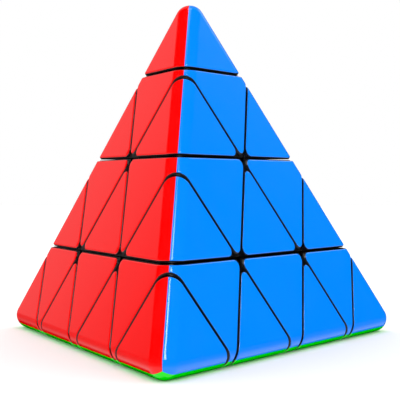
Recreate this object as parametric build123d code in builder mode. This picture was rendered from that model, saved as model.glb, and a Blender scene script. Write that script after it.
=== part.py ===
from build123d import *
from math import acos, cos, radians, sin, sqrt
import os

# Four-layer pyramid twisty puzzle (regular tetrahedron), millimetres.
#
# The origin is the centre of the tetrahedron, where all four turning axes meet.
# +Z runs to the top corner, and the puzzle rests on its base face at z = -inradius.
# Every layer turns about the axis of one corner. A "level" says how high a piece sits
# on an axis: 0 below the first cut, 1 in the third layer, 2 in the second, 3 in the tip.

# ---------------------------------------------------------------- driving dimensions
EDGE_LENGTH = 100.0  # sharp edge of the tetrahedron
EDGE_RADIUS = 3.2  # rounding of its edges and corners
CUT_HEIGHTS = (0.12, 20.75, 39.6)  # of the three cuts across each corner's axis, from the centre
CAP_SEAM = 0.54  # gap between neighbouring caps
BODY_SEAM = 0.26  # gap between the black pieces under them
TILE_CORNER_RADIUS = 1.5  # rounding where six tiles meet
TILE_RIM_RADIUS = 0.4  # rounding round the outside of each tile
CAP_THICKNESS = 0.5  # coloured caps on the black pieces
CORNER_ALLOWANCE = 4.0  # a middle's caps are cut this much too long until their corners are rounded
ON_SURFACE = 0.001  # how close counts as lying on a surface

RUNNING_GAP = 0.3  # between the shells of the mechanism
CORE_RADIUS = 11.0
FIRST_SHELL = 14.5  # feet of hubs, middles and centres
SECOND_SHELL = 18.0  # hubs reach over the middles' feet, middles over the centres'
THIRD_SHELL = 21.0  # feet of the wings, which the middles and centres reach over
FOOT_ANGLE = 78.0  # cone of the second shell about each axis
WING_FOOT_ANGLE = 40.0  # outer limit of a wing's foot about its axis
WING_NECK_ANGLE = 29.0  # outer limit of a wing's neck about its axis

SCREW_RADIUS = 1.5
SCREW_HEAD_RADIUS = 2.9
TIP_SCREW_RADIUS = 1.0
TIP_SCREW_HEAD_RADIUS = 2.2
BORE_CLEARANCE = 0.1
BORE_OVERRUN = 1.0  # a drill starts or ends this far outside the piece
THREAD_CLEARANCE = 0.03
AXIAL_POCKET_RADIUS = 3.5
AXIAL_POCKET = (22.5, 35.0)  # from and to, along the axis
SCREW_SPAN = (4.5, 30.0)
SCREW_END_ROOM = 0.5  # between the end of a screw and the bottom of its hole
SCREW_HEAD_TOP = 32.0
WASHER_THICKNESS = 0.6
TIP_SCREW_SPAN = (34.6, 46.5)
TIP_SCREW_HEAD_HEIGHT = 1.3
SPRING_WIRE_RADIUS = 0.3
SPRING_RADIUS = 2.15
SPRING_TURNS = 5
DRIVE_SLOT_WIDTH = 0.8

# ---------------------------------------------------------------- derived dimensions
INRADIUS = EDGE_LENGTH * sqrt(6) / 12
CORNER_LEAN = acos(-1 / 3)  # angle between two corner axes
BEYOND = 1.5 * EDGE_LENGTH  # well outside the puzzle


def corner_axis(turn):
    """Unit vector to a base corner, turned about +Z from the front corner."""
    lean = sin(CORNER_LEAN)
    return Vector(lean * sin(turn), -lean * cos(turn), cos(CORNER_LEAN))


AXES = {
    "apex": Vector(0, 0, 1),
    "front": corner_axis(0),
    "right": corner_axis(radians(120)),
    "left": corner_axis(radians(240)),
}
FACES = {"green": "apex", "yellow": "front", "red": "right", "blue": "left"}  # face opposite a corner


def plane_across(axis, height):
    """Plane square to a corner's axis, at a height from the centre, facing the corner."""
    direction = AXES[axis]
    return Plane(origin=direction * height, z_dir=direction)


# ---------------------------------------------------------------- outside shape
def rounded_tetrahedron(inset):
    """The tetrahedron with rounded edges and corners, inset evenly."""
    with BuildPart() as body:
        Sphere(BEYOND)
        for axis in AXES:
            split(bisect_by=plane_across(axis, inset - INRADIUS), keep=Keep.TOP)
        fillet(body.edges(), EDGE_RADIUS - inset)
    return body.part


OUTSIDE = rounded_tetrahedron(0)
CAP_UNDERSIDE = rounded_tetrahedron(CAP_THICKNESS)
OUTSIDE_SKIN = OUTSIDE.shell()


def colour_wedge(corner):
    """Everything nearer to the face opposite a corner than to the other faces."""
    with BuildPart() as wedge:
        Sphere(BEYOND)
        for other in AXES:
            if other != corner:
                halfway = Plane(origin=(0, 0, 0), z_dir=AXES[other] - AXES[corner])
                split(bisect_by=halfway, keep=Keep.TOP)
    return wedge.part


WEDGES = {colour: colour_wedge(corner) for colour, corner in FACES.items()}


# ---------------------------------------------------------------- cuts of the mechanism
def on_ray(angle, along, shift):
    """Point of a ray from the centre, in the (out, up) half plane of an axis, moved square to it."""
    turn = radians(angle)
    return (along * sin(turn) - shift * cos(turn), along * cos(turn) + shift * sin(turn))


def on_shell(angle, radius, shift):
    """Where a shifted ray crosses a sphere about the centre."""
    return on_ray(angle, sqrt(radius**2 - shift**2), shift)


def turned_about(axis, outline):
    """Solid of revolution about a corner axis from steps of straight lines and centred arcs."""
    direction = AXES[axis]
    sideways = Vector(1, 0, 0) if axis == "apex" else direction.cross(Vector(0, 0, 1)).normalized()
    # the plane's x runs out from the axis and its y runs up the axis
    half_plane = Plane(origin=(0, 0, 0), x_dir=sideways, z_dir=sideways.cross(direction))
    with BuildPart() as solid:
        with BuildSketch(half_plane):
            with BuildLine():
                for kind, start, end in outline:
                    if kind == "line":
                        Line(start, end)
                    else:
                        radius = Vector(*start).length
                        middle = (Vector(*start) + Vector(*end)).normalized() * radius
                        ThreePointArc(start, (middle.X, middle.Y), end)
            make_face()
        revolve(axis=Axis((0, 0, 0), direction))
    return solid.part


def joined(points_and_arcs):
    """Outline from a list of points, where 'arc' before a point makes that step an arc."""
    steps, kind, here = [], "line", points_and_arcs[0]
    for entry in points_and_arcs[1:]:
        if entry == "arc":
            kind = "arc"
            continue
        steps.append((kind, here, entry))
        kind, here = "line", entry
    return steps


def three_layer_side(axis, above):
    """What belongs to the three layers under a corner (above) or to the rest (not above)."""
    side = 1 if above else -1
    gap = side * RUNNING_GAP / 2
    cut = CUT_HEIGHTS[0] + side * BODY_SEAM / 2
    end = side * BEYOND
    return turned_about(
        axis,
        joined(
            [
                (0, gap),
                on_shell(90, FIRST_SHELL - gap, gap),
                "arc",
                on_shell(FOOT_ANGLE, FIRST_SHELL - gap, gap),
                on_shell(FOOT_ANGLE, SECOND_SHELL + gap, gap),
                "arc",
                on_shell(90, SECOND_SHELL + gap, cut),
                (BEYOND, cut),
                (BEYOND, end),
                (0, end),
                (0, gap),
            ]
        ),
    )


def two_layer_side(axis, above):
    """What belongs to the two layers under a corner (above) or to the rest (not above)."""
    side = 1 if above else -1
    gap = side * RUNNING_GAP / 2
    cut = CUT_HEIGHTS[1] + side * BODY_SEAM / 2
    neck = radians(WING_NECK_ANGLE)
    meeting = (cut - gap * sin(neck)) / cos(neck)
    end = side * BEYOND
    return turned_about(
        axis,
        joined(
            [
                (0, SECOND_SHELL + gap),
                "arc",
                on_shell(WING_FOOT_ANGLE, SECOND_SHELL + gap, gap),
                on_shell(WING_FOOT_ANGLE, THIRD_SHELL - gap, gap),
                "arc",
                on_shell(WING_NECK_ANGLE, THIRD_SHELL - gap, gap),
                on_ray(WING_NECK_ANGLE, meeting, gap),
                (BEYOND, cut),
                (BEYOND, end),
                (0, end),
                (0, SECOND_SHELL + gap),
            ]
        ),
    )


THREE_LAYERS = {(axis, above): three_layer_side(axis, above) for axis in AXES for above in (True, False)}
TWO_LAYERS = {(axis, above): two_layer_side(axis, above) for axis in AXES for above in (True, False)}


# ---------------------------------------------------------------- coloured caps
def keep_above(axis, cut, seam=CAP_SEAM):
    """Cut the part in hand along a seam and keep the side of the corner."""
    split(bisect_by=plane_across(axis, CUT_HEIGHTS[cut] + seam / 2), keep=Keep.TOP)


def keep_below(axis, cut, seam=CAP_SEAM):
    """Cut the part in hand along a seam and keep the side away from the corner."""
    split(bisect_by=plane_across(axis, CUT_HEIGHTS[cut] - seam / 2), keep=Keep.BOTTOM)


def lies_on(edge, axis, cut):
    """Is a straight edge on one of the two sides of a seam between caps?"""
    heights = [(edge @ place).dot(AXES[axis]) for place in (0, 1)]
    return all(abs(abs(height - CUT_HEIGHTS[cut]) - CAP_SEAM / 2) < ON_SURFACE for height in heights)


def corner_edges(part, cuts):
    """Straight edges where two of the cuts meet."""
    straight = part.edges().filter_by(GeomType.LINE)
    return [edge for edge in straight if sum(lies_on(edge, *cut) for cut in cuts) == 2]


def rim_edges(part):
    """Edges between the outside surface and the cuts, which go round each tile."""
    middles = [(face, face.position_at(0.5, 0.5)) for face in part.faces()]
    outside = [face for face, middle in middles if OUTSIDE_SKIN.distance_to(middle) < ON_SURFACE]
    shared = [edge for face in outside for edge in face.edges()]
    return [edge for edge in shared if sum(edge.is_same(other) for other in shared) == 1]


def cap_blank(levels):
    """The outside of a piece, cut along its seams, with rounded tile corners and rims."""
    others = [axis for axis in AXES if levels[axis] == 0]
    third = [axis for axis in AXES if levels[axis] == 1]
    upper = [axis for axis in AXES if levels[axis] == 2]
    with BuildPart() as blank:
        add(OUTSIDE)
        if 3 in levels.values():
            keep_above(max(levels, key=levels.get), 2)
        elif upper and not third:
            for axis in others:
                keep_below(axis, 0)
            fillet(corner_edges(blank.part, [(axis, 0) for axis in others]), TILE_CORNER_RADIUS)
            keep_above(upper[0], 1)
            keep_below(upper[0], 2)
        elif upper:
            keep_above(upper[0], 1)
            keep_above(third[0], 0)
            fillet(corner_edges(blank.part, [(upper[0], 1), (third[0], 0)]), TILE_CORNER_RADIUS)
            keep_below(upper[0], 2)
            for axis in others:
                keep_below(axis, 0)
        elif len(third) == 2:
            for axis in third:
                keep_below(axis, 1)
                split(bisect_by=plane_across(axis, CUT_HEIGHTS[0] - CORNER_ALLOWANCE), keep=Keep.TOP)
            for axis in others:
                keep_below(axis, 0)
            for axis in third:
                for other in others:
                    fillet(corner_edges(blank.part, [(axis, 1), (other, 0)]), TILE_CORNER_RADIUS)
            for axis in third:
                keep_above(axis, 0)
        else:
            for axis in third:
                keep_above(axis, 0)
            fillet(corner_edges(blank.part, [(axis, 0) for axis in third]), TILE_CORNER_RADIUS)
        fillet(rim_edges(blank.part), TILE_RIM_RADIUS)
        add(CAP_UNDERSIDE, mode=Mode.SUBTRACT)
    return blank.part


def coloured_caps(levels):
    """One cap for each face of the puzzle that a piece shows, by colour."""
    blank = cap_blank(levels)
    caps = {}
    for colour, corner in FACES.items():
        if levels[corner] == 0:
            with BuildPart() as cap:
                add(blank)
                add(WEDGES[colour], mode=Mode.INTERSECT)
            caps[colour] = cap.part
    return caps


# ---------------------------------------------------------------- black bodies
def moulded_body(levels):
    """The black part of a piece: its share of the shells round the core, out to under its caps."""
    with BuildPart() as body:
        add(CAP_UNDERSIDE)
        Sphere(CORE_RADIUS + RUNNING_GAP / 2, mode=Mode.SUBTRACT)
        for axis, level in levels.items():
            add(THREE_LAYERS[axis, level >= 1], mode=Mode.INTERSECT)
            if level >= 1:
                add(TWO_LAYERS[axis, level >= 2], mode=Mode.INTERSECT)
            if level == 2:
                keep_below(axis, 2, BODY_SEAM)
            if level == 3:
                keep_above(axis, 2, BODY_SEAM)
    return body.part.solids().sort_by(SortBy.VOLUME)[-1]


def drilled(body, axis, holes):
    """A body with round holes along a corner's axis, each as (radius, from, to)."""
    with BuildPart() as part:
        add(body)
        for radius, start, end in holes:
            with BuildSketch(plane_across(axis, start)):
                Circle(radius)
            extrude(amount=end - start, mode=Mode.SUBTRACT)
    return part.part


# ---------------------------------------------------------------- screws, springs and washers
def slotted_screw(axis, shank_radius, shank, head_radius, head, slot_end):
    """Screw along a corner's axis. The head is (from, to), and slot_end says which end is slotted."""
    slot_depth = (head[1] - head[0]) / 2
    with BuildPart() as screw:
        with BuildSketch(plane_across(axis, shank[0])):
            Circle(shank_radius)
        extrude(amount=shank[1] - shank[0])
        with BuildSketch(plane_across(axis, head[0])):
            Circle(head_radius)
        extrude(amount=head[1] - head[0])
        slot_start = head[1] - slot_depth if slot_end == "outer" else head[0]
        with BuildSketch(plane_across(axis, slot_start)):
            Rectangle(2 * head_radius, DRIVE_SLOT_WIDTH)
            Rectangle(DRIVE_SLOT_WIDTH, 2 * head_radius)
        extrude(amount=slot_depth, mode=Mode.SUBTRACT)
    return screw.part.solid()


def axis_screw(axis):
    """Long screw that holds one corner's hub and axial on the core."""
    return slotted_screw(
        axis, SCREW_RADIUS, SCREW_SPAN, SCREW_HEAD_RADIUS, (SCREW_SPAN[1], SCREW_HEAD_TOP), "outer"
    )


def tip_screw(axis):
    """Short screw up through the axial into the tip, with its head in the axial's pocket."""
    head = (TIP_SCREW_SPAN[0] - TIP_SCREW_HEAD_HEIGHT, TIP_SCREW_SPAN[0])
    return slotted_screw(axis, TIP_SCREW_RADIUS, TIP_SCREW_SPAN, TIP_SCREW_HEAD_RADIUS, head, "inner")


def axis_washer(axis):
    """Flat washer between the screw's head and the spring."""
    with BuildPart() as washer:
        with BuildSketch(plane_across(axis, SCREW_SPAN[1] - WASHER_THICKNESS)):
            Circle(SCREW_HEAD_RADIUS)
            Circle(SCREW_RADIUS + BORE_CLEARANCE, mode=Mode.SUBTRACT)
        extrude(amount=WASHER_THICKNESS)
    return washer.part.solid()


def axis_spring(axis):
    """Compression spring round the screw, between the axial's ledge and the washer."""
    lowest = AXIAL_POCKET[0] + SPRING_WIRE_RADIUS + BORE_CLEARANCE
    highest = SCREW_SPAN[1] - WASHER_THICKNESS - SPRING_WIRE_RADIUS - BORE_CLEARANCE
    length = highest - lowest
    with BuildPart() as spring:
        with BuildLine():
            coil = Helix(
                pitch=length / SPRING_TURNS,
                height=length,
                radius=SPRING_RADIUS,
                center=AXES[axis] * lowest,
                direction=AXES[axis],
            )
        with BuildSketch(Plane(origin=coil @ 0, z_dir=coil % 0)):
            Circle(SPRING_WIRE_RADIUS)
        sweep()
    return spring.part.solid()


# ---------------------------------------------------------------- making and writing the pieces
def levels_of(**stated):
    """Level on every axis, 0 where none is stated."""
    return {axis: stated.get(axis, 0) for axis in AXES}


def write(name, *solids):
    """Write one named piece, or a group of separate solids."""
    piece = solids[0] if len(solids) == 1 else Compound(list(solids))
    piece.label = name
    export_step(piece, f"parts/{name}.step")


os.makedirs("parts", exist_ok=True)

CORNERS = list(AXES)
shank_bore = SCREW_RADIUS + BORE_CLEARANCE
tip_bore = TIP_SCREW_RADIUS + BORE_CLEARANCE
tip_seat = CUT_HEIGHTS[2]

# the core, a ball with a threaded hole for each axis screw
with BuildPart() as core:
    Sphere(CORE_RADIUS - RUNNING_GAP / 2)
    for axis in CORNERS:
        with BuildSketch(plane_across(axis, SCREW_SPAN[0] - SCREW_END_ROOM)):
            Circle(SCREW_RADIUS + THREAD_CLEARANCE)
        extrude(amount=CORE_RADIUS, mode=Mode.SUBTRACT)
core.part.label = "core"
export_step(core.part, "parts/core.step")

write("axis_screws", *[axis_screw(axis) for axis in CORNERS])
write("axis_springs", *[axis_spring(axis) for axis in CORNERS])
write("axis_washers", *[axis_washer(axis) for axis in CORNERS])

# on each corner's axis: hub, axial and tip
for corner in CORNERS:
    hub_hole = (shank_bore, 0, SECOND_SHELL + BORE_OVERRUN)
    write(f"{corner}_hub", drilled(moulded_body(levels_of(**{corner: 1})), corner, [hub_hole]).solid())

    axial = levels_of(**{corner: 2})
    axial_holes = [
        (shank_bore, SECOND_SHELL - BORE_OVERRUN, AXIAL_POCKET[0]),
        (AXIAL_POCKET_RADIUS, *AXIAL_POCKET),
        (tip_bore, AXIAL_POCKET[1], tip_seat + BORE_OVERRUN),
    ]
    write(f"{corner}_axial_body", drilled(moulded_body(axial), corner, axial_holes).solid())
    write(f"{corner}_axial_caps", *[cap.solid() for cap in coloured_caps(axial).values()])

    tip = levels_of(**{corner: 3})
    thread_hole = TIP_SCREW_RADIUS + THREAD_CLEARANCE
    tip_hole = (thread_hole, tip_seat - BORE_OVERRUN, TIP_SCREW_SPAN[1] + SCREW_END_ROOM)
    write(f"{corner}_tip_body", drilled(moulded_body(tip), corner, [tip_hole]).solid())
    write(f"{corner}_tip_caps", *[cap.solid() for cap in coloured_caps(tip).values()])
    write(f"{corner}_tip_screw", tip_screw(corner))

    # the wings of this corner, one towards each other corner
    for toward in CORNERS:
        if toward != corner:
            wing = levels_of(**{corner: 2, toward: 1})
            halves = [cap.solid() for cap in coloured_caps(wing).values()]
            write(f"{corner}_wing_{toward}", moulded_body(wing), *halves)

# a middle piece on each edge
for number, corner in enumerate(CORNERS):
    for toward in CORNERS[number + 1 :]:
        middle = levels_of(**{corner: 1, toward: 1})
        write(f"{corner}_{toward}_middle_body", moulded_body(middle))
        write(f"{corner}_{toward}_middle_caps", *[cap.solid() for cap in coloured_caps(middle).values()])

# a centre piece on each face
for colour, opposite in FACES.items():
    centre = {axis: 0 if axis == opposite else 1 for axis in CORNERS}
    write(f"{colour}_centre_body", moulded_body(centre))
    write(f"{colour}_centre_cap", coloured_caps(centre)[colour].solid())
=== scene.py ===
"""Look of the pyramid twisty puzzle: glossy coloured caps on black plastic, in a white studio.

All lengths are in metres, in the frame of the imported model. The puzzle's centre is the
origin, +Z runs to the top corner and -Y towards the front corner.
"""

import math

import bmesh
import bpy
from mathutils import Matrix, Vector


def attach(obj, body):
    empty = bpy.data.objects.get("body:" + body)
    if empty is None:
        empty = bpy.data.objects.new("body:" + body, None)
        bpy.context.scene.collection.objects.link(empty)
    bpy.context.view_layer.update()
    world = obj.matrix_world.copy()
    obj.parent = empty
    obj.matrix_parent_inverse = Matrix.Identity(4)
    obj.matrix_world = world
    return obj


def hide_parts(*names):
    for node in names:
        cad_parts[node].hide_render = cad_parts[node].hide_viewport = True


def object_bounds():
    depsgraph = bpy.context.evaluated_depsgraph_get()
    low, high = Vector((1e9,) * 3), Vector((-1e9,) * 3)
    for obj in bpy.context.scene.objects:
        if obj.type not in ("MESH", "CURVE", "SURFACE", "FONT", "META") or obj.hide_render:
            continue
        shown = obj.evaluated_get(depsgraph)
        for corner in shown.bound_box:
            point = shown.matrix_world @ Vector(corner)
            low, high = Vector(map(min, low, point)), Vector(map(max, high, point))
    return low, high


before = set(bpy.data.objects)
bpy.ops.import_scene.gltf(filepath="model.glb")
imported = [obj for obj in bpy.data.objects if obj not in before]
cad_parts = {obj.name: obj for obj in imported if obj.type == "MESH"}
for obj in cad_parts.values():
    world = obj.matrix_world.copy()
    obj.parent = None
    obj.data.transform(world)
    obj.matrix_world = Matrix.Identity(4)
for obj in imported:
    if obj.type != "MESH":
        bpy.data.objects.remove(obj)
cad_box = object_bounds()

# ---------------------------------------------------------------- places
MM = 0.001
EDGE_RADIUS = 3.2 * MM  # rounding of the puzzle's edges
CAP_THICKNESS = 0.5 * MM
SEAM_SHADE_DEPTH = 0.15 * MM  # painted shade: a cap's colour ends this far down its rounded rim, and below it the rim is painted black to darken the seams between caps
JUST_INSIDE = 0.05 * MM  # step from a surface into its own solid
WELD = 0.001 * MM  # vertices this close become one
SHARP_ANGLE = math.radians(35)  # a fold steeper than this stays a crisp edge

CAMERA_AZIMUTH = math.radians(4.93)  # from -Y towards +X
CAMERA_ELEVATION = math.radians(0.82)
CAMERA_DISTANCE = 254.9 * MM
CAMERA_LENS = 102.8  # focal length in millimetres
AIM_HEIGHT = 11.57 * MM
AIM_RIGHT = 2.29 * MM
CAMERA_NEAR_CLIP = 10 * MM

FACE_COSINE = -1 / 3  # between the directions of any two faces, or of any two corners
CORNER_DISTANCE = 3  # of a sharp corner from the centre, in inradii
inradius = -cad_box[0].z


def corner_axis(turn):
    """Unit vector to a base corner, turned about +Z from the front corner."""
    lean = math.acos(FACE_COSINE)
    return Vector((math.sin(lean) * math.sin(turn), -math.sin(lean) * math.cos(turn), math.cos(lean)))


AXES = {
    "apex": Vector((0, 0, 1)),
    "front": corner_axis(0),
    "right": corner_axis(math.radians(120)),
    "left": corner_axis(math.radians(240)),
}
CORNERS = list(AXES)
# the corner opposite each colour's face
OPPOSITE = {"green": "apex", "yellow": "front", "red": "right", "blue": "left"}
FACES = {colour: -AXES[corner] for colour, corner in OPPOSITE.items()}  # outward directions


# ---------------------------------------------------------------- node helpers
class Nodes:
    """A node tree with short calls for what the materials, the floor and the sky use."""

    def __init__(self, owner):
        owner.use_nodes = True
        self.tree = owner.node_tree
        self.tree.nodes.clear()

    def add(self, kind, **settings):
        node = self.tree.nodes.new(kind)
        for name, value in settings.items():
            setattr(node, name, value)
        return node

    def link(self, source, target):
        """Link an output to an input, or set the input where the source is a plain value."""
        if isinstance(source, bpy.types.NodeSocket):
            self.tree.links.new(source, target)
        else:
            target.default_value = source

    def math(self, operation, *values):
        node = self.add("ShaderNodeMath", operation=operation)
        for socket, value in zip(node.inputs, values):
            self.link(value, socket)
        return node.outputs[0]

    def ramp(self, value, start, end, low=0.0, high=1.0):
        """A smooth step of value from low at start to high at end."""
        node = self.add("ShaderNodeMapRange", interpolation_type="SMOOTHSTEP")
        for socket, item in zip(node.inputs, (value, start, end, low, high)):
            self.link(item, socket)
        return node.outputs[0]

    def noise(self, coordinates, scale, detail=2.0):
        node = self.add("ShaderNodeTexNoise")
        self.link(coordinates, node.inputs["Vector"])
        node.inputs["Scale"].default_value = scale
        node.inputs["Detail"].default_value = detail
        return node.outputs["Fac"]

    def mix(self, share, first, second):
        node = self.add("ShaderNodeMix", data_type="RGBA")
        self.link(share, node.inputs["Factor"])
        self.link(first, node.inputs["A"])
        self.link(second, node.inputs["B"])
        return node.outputs["Result"]

    def bump(self, height, distance, normal=None):
        node = self.add("ShaderNodeBump")
        node.inputs["Distance"].default_value = distance
        self.link(height, node.inputs["Height"])
        if normal is not None:
            self.link(normal, node.inputs["Normal"])
        return node.outputs["Normal"]


# ---------------------------------------------------------------- materials
WAVE_SCALE = 60.0  # cells per metre of a moulding's slow waviness and colour change
GLOSS_SCALE = 240.0  # cells per metre of its uneven gloss
GRAIN_DETAIL = 3.0
METAL_DETAIL = 4.0
NOISE_LOW = 0.3  # most of a noise lies between these two
NOISE_HIGH = 0.7
PLASTIC_IOR = 1.5
METAL_SHADE = 0.8  # darker tint of a metal, as a share of its colour
METAL_BUMP = 0.002 * MM


def plastic(name, colour, shade, roughness, wave, grain, grain_scale):
    """Moulded plastic: two close colours, a slow waviness, a fine grain and uneven gloss."""
    material = bpy.data.materials.new(name)
    nodes = Nodes(material)
    place = nodes.add("ShaderNodeTexCoord").outputs["Object"]
    slow = nodes.noise(place, WAVE_SCALE)
    fine = nodes.noise(place, grain_scale, GRAIN_DETAIL)
    gloss = nodes.noise(place, GLOSS_SCALE)
    shader = nodes.add("ShaderNodeBsdfPrincipled")
    nodes.link(nodes.mix(slow, (*colour, 1), (*shade, 1)), shader.inputs["Base Color"])
    nodes.link(nodes.ramp(gloss, NOISE_LOW, NOISE_HIGH, *roughness), shader.inputs["Roughness"])
    waves = nodes.bump(slow, wave)
    nodes.link(nodes.bump(fine, grain, waves), shader.inputs["Normal"])
    shader.inputs["IOR"].default_value = PLASTIC_IOR
    output = nodes.add("ShaderNodeOutputMaterial")
    nodes.link(shader.outputs["BSDF"], output.inputs["Surface"])
    return material


def metal(name, colour, roughness, scale):
    """Plated or drawn steel with fine uneven gloss."""
    material = bpy.data.materials.new(name)
    nodes = Nodes(material)
    place = nodes.add("ShaderNodeTexCoord").outputs["Object"]
    fine = nodes.noise(place, scale, METAL_DETAIL)
    shader = nodes.add("ShaderNodeBsdfPrincipled")
    darker = [channel * METAL_SHADE for channel in colour]
    nodes.link(nodes.mix(fine, (*colour, 1), (*darker, 1)), shader.inputs["Base Color"])
    shader.inputs["Metallic"].default_value = 1.0
    nodes.link(nodes.ramp(fine, NOISE_LOW, NOISE_HIGH, *roughness), shader.inputs["Roughness"])
    nodes.link(nodes.bump(fine, METAL_BUMP), shader.inputs["Normal"])
    output = nodes.add("ShaderNodeOutputMaterial")
    nodes.link(shader.outputs["BSDF"], output.inputs["Surface"])
    return material


CAP_COLOURS = {  # each cap's colour and a slightly darker tint of it
    "red": ((0.86, 0.0006, 0.0006), (0.83, 0.0006, 0.0006)),
    "blue": ((0.0, 0.219, 0.92), (0.0, 0.214, 0.90)),
    "green": ((0.0, 0.80, 0.002), (0.0, 0.77, 0.002)),
    "yellow": ((0.95, 0.68, 0.002), (0.93, 0.655, 0.002)),
}
cap_materials = {
    colour: plastic(
        f"{colour}_gloss",
        *tints,
        roughness=(0.07, 0.10),
        wave=0.004 * MM,
        grain=0.0002 * MM,
        grain_scale=2400.0,
    )
    for colour, tints in CAP_COLOURS.items()
}
black = plastic(
    "black_satin",
    (0.0020, 0.0020, 0.0022),
    (0.0013, 0.0013, 0.0015),
    roughness=(0.30, 0.42),
    wave=0.004 * MM,
    grain=0.004 * MM,
    grain_scale=1800.0,
)
screw_steel = metal("screw_steel", (0.62, 0.63, 0.65), (0.25, 0.40), 1500.0)
spring_steel = metal("spring_steel", (0.50, 0.51, 0.53), (0.20, 0.32), 2500.0)


# ---------------------------------------------------------------- caps and wing bodies
def depth_inside(point):
    """Depth of a point under the puzzle's rounded outside, near a face, an edge or a corner."""
    reach = inradius - EDGE_RADIUS
    corner = max(AXES.values(), key=point.dot)
    from_corner = point - corner * CORNER_DISTANCE * reach
    if all(from_corner.dot(other - corner) <= 0 for other in AXES.values()):
        return EDGE_RADIUS - from_corner.length
    nearest, second = sorted((point.dot(out) - reach for out in FACES.values()), reverse=True)[:2]
    # the point's parts along the two faces' directions
    along_nearest = (nearest - FACE_COSINE * second) / (1 - FACE_COSINE**2)
    along_second = (second - FACE_COSINE * nearest) / (1 - FACE_COSINE**2)
    if along_second <= 0:
        return EDGE_RADIUS - nearest
    return EDGE_RADIUS - math.sqrt(along_nearest * nearest + along_second * second)


def colour_of(polygon):
    """The colour of the face that a cap's polygon is nearest to."""
    inside = polygon.center - polygon.normal * JUST_INSIDE
    return max(FACES, key=lambda colour: inside.dot(FACES[colour]))


def is_body(polygon):
    """Does a polygon of a wing's node bound its black body?"""
    return depth_inside(polygon.center - polygon.normal * JUST_INSIDE) > CAP_THICKNESS


def piece_from(node, name, keep, material, body):
    """A piece from the polygons of a CAD node that keep() picks, its rim painted black below its coloured
    part as painted shade in the seams.
    """
    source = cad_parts[node].data
    wanted = {polygon.index for polygon in source.polygons if keep(polygon)}
    mesh = bpy.data.meshes.new(name)
    work = bmesh.new()
    work.from_mesh(source)
    bmesh.ops.delete(work, geom=[face for face in work.faces if face.index not in wanted], context="FACES")
    bmesh.ops.remove_doubles(work, verts=work.verts, dist=WELD)
    for face in work.faces:
        face.smooth = True
        # painted shade: faces deep on the rounded rim take the black slot, so the seams between caps look
        # dark
        face.material_index = int(depth_inside(face.calc_center_median()) > SEAM_SHADE_DEPTH)
    for edge in work.edges:
        edge.smooth = len(edge.link_faces) == 2 and edge.calc_face_angle() < SHARP_ANGLE
    work.to_mesh(mesh)
    work.free()
    mesh.materials.append(material)
    mesh.materials.append(black)
    piece = bpy.data.objects.new(name, mesh)
    bpy.context.scene.collection.objects.link(piece)
    weighted = piece.modifiers.new("weighted_normals", "WEIGHTED_NORMAL")
    weighted.keep_sharp = True
    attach(piece, body)
    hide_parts(node)


def caps_from(node, base, body, colours, has_body=False):
    """One cap piece for each colour that a node holds."""
    for colour in colours:

        def keep(polygon, colour=colour):
            return colour_of(polygon) == colour and not (has_body and is_body(polygon))

        piece_from(node, f"{base}_{colour}", keep, cap_materials[colour], body)


def colours_beside(*corners):
    """The colours of the faces that a piece at these corners shows."""
    return [colour for colour, corner in OPPOSITE.items() if corner not in corners]


for corner in CORNERS:
    caps_from(f"{corner}_axial_caps", f"{corner}_axial_cap", f"{corner}_axial", colours_beside(corner))
    caps_from(f"{corner}_tip_caps", f"{corner}_tip_cap", f"{corner}_tip", colours_beside(corner))
    for toward in CORNERS:
        if toward == corner:
            continue
        node, body = f"{corner}_wing_{toward}", f"{corner}_wing_{toward}_body"
        caps_from(node, f"{node}_cap", body, colours_beside(corner, toward), has_body=True)
        piece_from(node, f"{node}_moulding", is_body, black, body)

for number, corner in enumerate(CORNERS):
    for toward in CORNERS[number + 1 :]:
        middle = f"{corner}_{toward}_middle"
        caps_from(f"{middle}_caps", f"{middle}_cap", middle, colours_beside(corner, toward))

for colour in FACES:
    caps_from(f"{colour}_centre_cap", f"{colour}_centre_shell", f"{colour}_centre", [colour])

# ---------------------------------------------------------------- the other CAD nodes
for name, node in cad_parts.items():
    if node.hide_render:
        continue
    if name == "axis_springs":
        material = spring_steel
    elif "screw" in name or name == "axis_washers":
        material = screw_steel
    else:
        material = black
    node.data.materials.clear()
    node.data.materials.append(material)

# ---------------------------------------------------------------- floor
FLOOR_SIZE = 3.0
FLOOR_WHITE = 0.82
bpy.ops.mesh.primitive_plane_add(size=FLOOR_SIZE, location=(0, 0, cad_box[0].z))
floor = bpy.context.object
floor.name = "floor"
floor_material = bpy.data.materials.new("white_floor")
floor_nodes = Nodes(floor_material)
floor_shader = floor_nodes.add("ShaderNodeBsdfDiffuse")
floor_shader.inputs["Color"].default_value = (FLOOR_WHITE, FLOOR_WHITE, FLOOR_WHITE, 1)
floor_output = floor_nodes.add("ShaderNodeOutputMaterial")
floor_nodes.link(floor_shader.outputs["BSDF"], floor_output.inputs["Surface"])
floor.data.materials.append(floor_material)
floor.visible_glossy = False  # the studio has its own table in reflections

# ---------------------------------------------------------------- studio light
SKY_LIGHT = 1.45  # even light on everything
BACKDROP = 1.0  # white behind the puzzle

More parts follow.
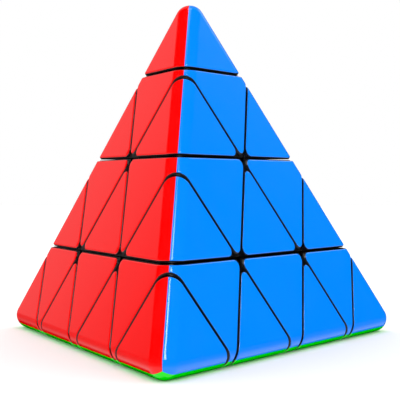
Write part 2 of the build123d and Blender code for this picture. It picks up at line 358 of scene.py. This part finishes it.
# What the gloss reflects. Turns are in degrees about +Z from -Y towards +X, rises are in degrees
# above the horizon, and each fade is (start, end), or (start, end, strength at start, strength at end).
LEFT_WALL_EDGE = (-125.0, -126.0)
LEFT_WALL_GLOW = (-123.0, -138.0, 0.07, 0.37)
LEFT_WALL_FOOT = (-4.0, 2.0)
RIGHT_WALL_EDGE = (121.0, 128.0)
RIGHT_WALL_GLOW = (12.0, 32.0, 0.0, 0.2)
WINDOW_TURNS = (129.0, 156.0)
WINDOW_RISES = (24.0, 42.0)
WINDOW_LIGHT = 1.3
CEILING_GLOW = (76.0, 79.0, 0.0, 2.5)
LAMP_TURNS = (8.0, 22.0)
LAMP_RISES = (30.0, 80.0)
LAMP_GLOW = (63.0, 72.0, 16.0, 0.6)
TABLE_GLOW = (-8.0, -28.0, 0.12, 0.9)
TABLE_EDGE = (0.0, -2.0)
TABLE_SHADE = (136.0, 144.0, 1.0, 0.0)  # by the turn either way
PANEL_FADE = 2.0

world = bpy.data.worlds.new("studio")
bpy.context.scene.world = world
sky = Nodes(world)
split = sky.add("ShaderNodeSeparateXYZ")
sky.link(sky.add("ShaderNodeTexCoord").outputs["Generated"], split.inputs[0])
east, north, up = split.outputs
turn = sky.math("MULTIPLY", sky.math("ARCTAN2", east, sky.math("MULTIPLY", north, -1.0)), 180 / math.pi)
rise = sky.math("MULTIPLY", sky.math("ARCSINE", up), 180 / math.pi)


def panel(turns, rises):
    """A rectangle of sky, 1 inside and 0 outside, with soft sides."""
    inside = 1.0
    for angle, (start, end) in ((turn, turns), (rise, rises)):
        opening = sky.ramp(angle, start - PANEL_FADE, start + PANEL_FADE)
        closing = sky.ramp(angle, end - PANEL_FADE, end + PANEL_FADE, 1.0, 0.0)
        inside = sky.math("MULTIPLY", inside, sky.math("MULTIPLY", opening, closing))
    return inside


def highest(*lights):
    """The brightest of several lights in each direction."""
    brightest = lights[0]
    for light in lights[1:]:
        brightest = sky.math("MAXIMUM", brightest, light)
    return brightest


# a pale wall behind the puzzle's left, brighter further round
left_wall = sky.math("MULTIPLY", sky.ramp(turn, *LEFT_WALL_EDGE), sky.ramp(turn, *LEFT_WALL_GLOW))
left_wall = sky.math("MULTIPLY", left_wall, sky.ramp(rise, *LEFT_WALL_FOOT))
# a darker wall behind its right, with a window
right_wall = sky.math("MULTIPLY", sky.ramp(turn, *RIGHT_WALL_EDGE), sky.ramp(rise, *RIGHT_WALL_GLOW))
window = sky.math("MULTIPLY", panel(WINDOW_TURNS, WINDOW_RISES), WINDOW_LIGHT)
# a bright ceiling, and a lamp high in front that shows as a line on the front edge
ceiling = sky.ramp(rise, *CEILING_GLOW)
lamp = sky.math("MULTIPLY", panel(LAMP_TURNS, LAMP_RISES), sky.ramp(rise, *LAMP_GLOW))
# the table, pale below, dim towards the horizon and shaded under the puzzle
table = sky.math("MULTIPLY", sky.ramp(rise, *TABLE_GLOW), sky.ramp(rise, *TABLE_EDGE))
table = sky.math("MULTIPLY", table, sky.ramp(sky.math("ABSOLUTE", turn), *TABLE_SHADE))
seen = highest(left_wall, right_wall, window, ceiling, lamp, table)

path = sky.add("ShaderNodeLightPath")
strength = sky.math("MULTIPLY", path.outputs["Is Glossy Ray"], seen)
for ray, value in (("Is Camera Ray", BACKDROP), ("Is Diffuse Ray", SKY_LIGHT)):
    strength = sky.math("ADD", strength, sky.math("MULTIPLY", path.outputs[ray], value))
background = sky.add("ShaderNodeBackground")
background.inputs["Color"].default_value = (1, 1, 1, 1)
sky.link(strength, background.inputs["Strength"])
world_output = sky.add("ShaderNodeOutputWorld")
sky.link(background.outputs[0], world_output.inputs["Surface"])

# ---------------------------------------------------------------- camera
camera_data = bpy.data.cameras.new("camera")
camera_data.lens = CAMERA_LENS
camera_data.clip_start = CAMERA_NEAR_CLIP
camera = bpy.data.objects.new("camera", camera_data)
bpy.context.scene.collection.objects.link(camera)
bpy.context.scene.camera = camera
aim = Vector((AIM_RIGHT * math.cos(CAMERA_AZIMUTH), AIM_RIGHT * math.sin(CAMERA_AZIMUTH), AIM_HEIGHT))
backwards = Vector(
    (
        math.sin(CAMERA_AZIMUTH) * math.cos(CAMERA_ELEVATION),
        -math.cos(CAMERA_AZIMUTH) * math.cos(CAMERA_ELEVATION),
        math.sin(CAMERA_ELEVATION),
    )
)
camera.location = aim + backwards * CAMERA_DISTANCE
camera.rotation_euler = backwards.to_track_quat("Z", "Y").to_euler()
bpy.context.scene.view_settings.view_transform = "Standard"
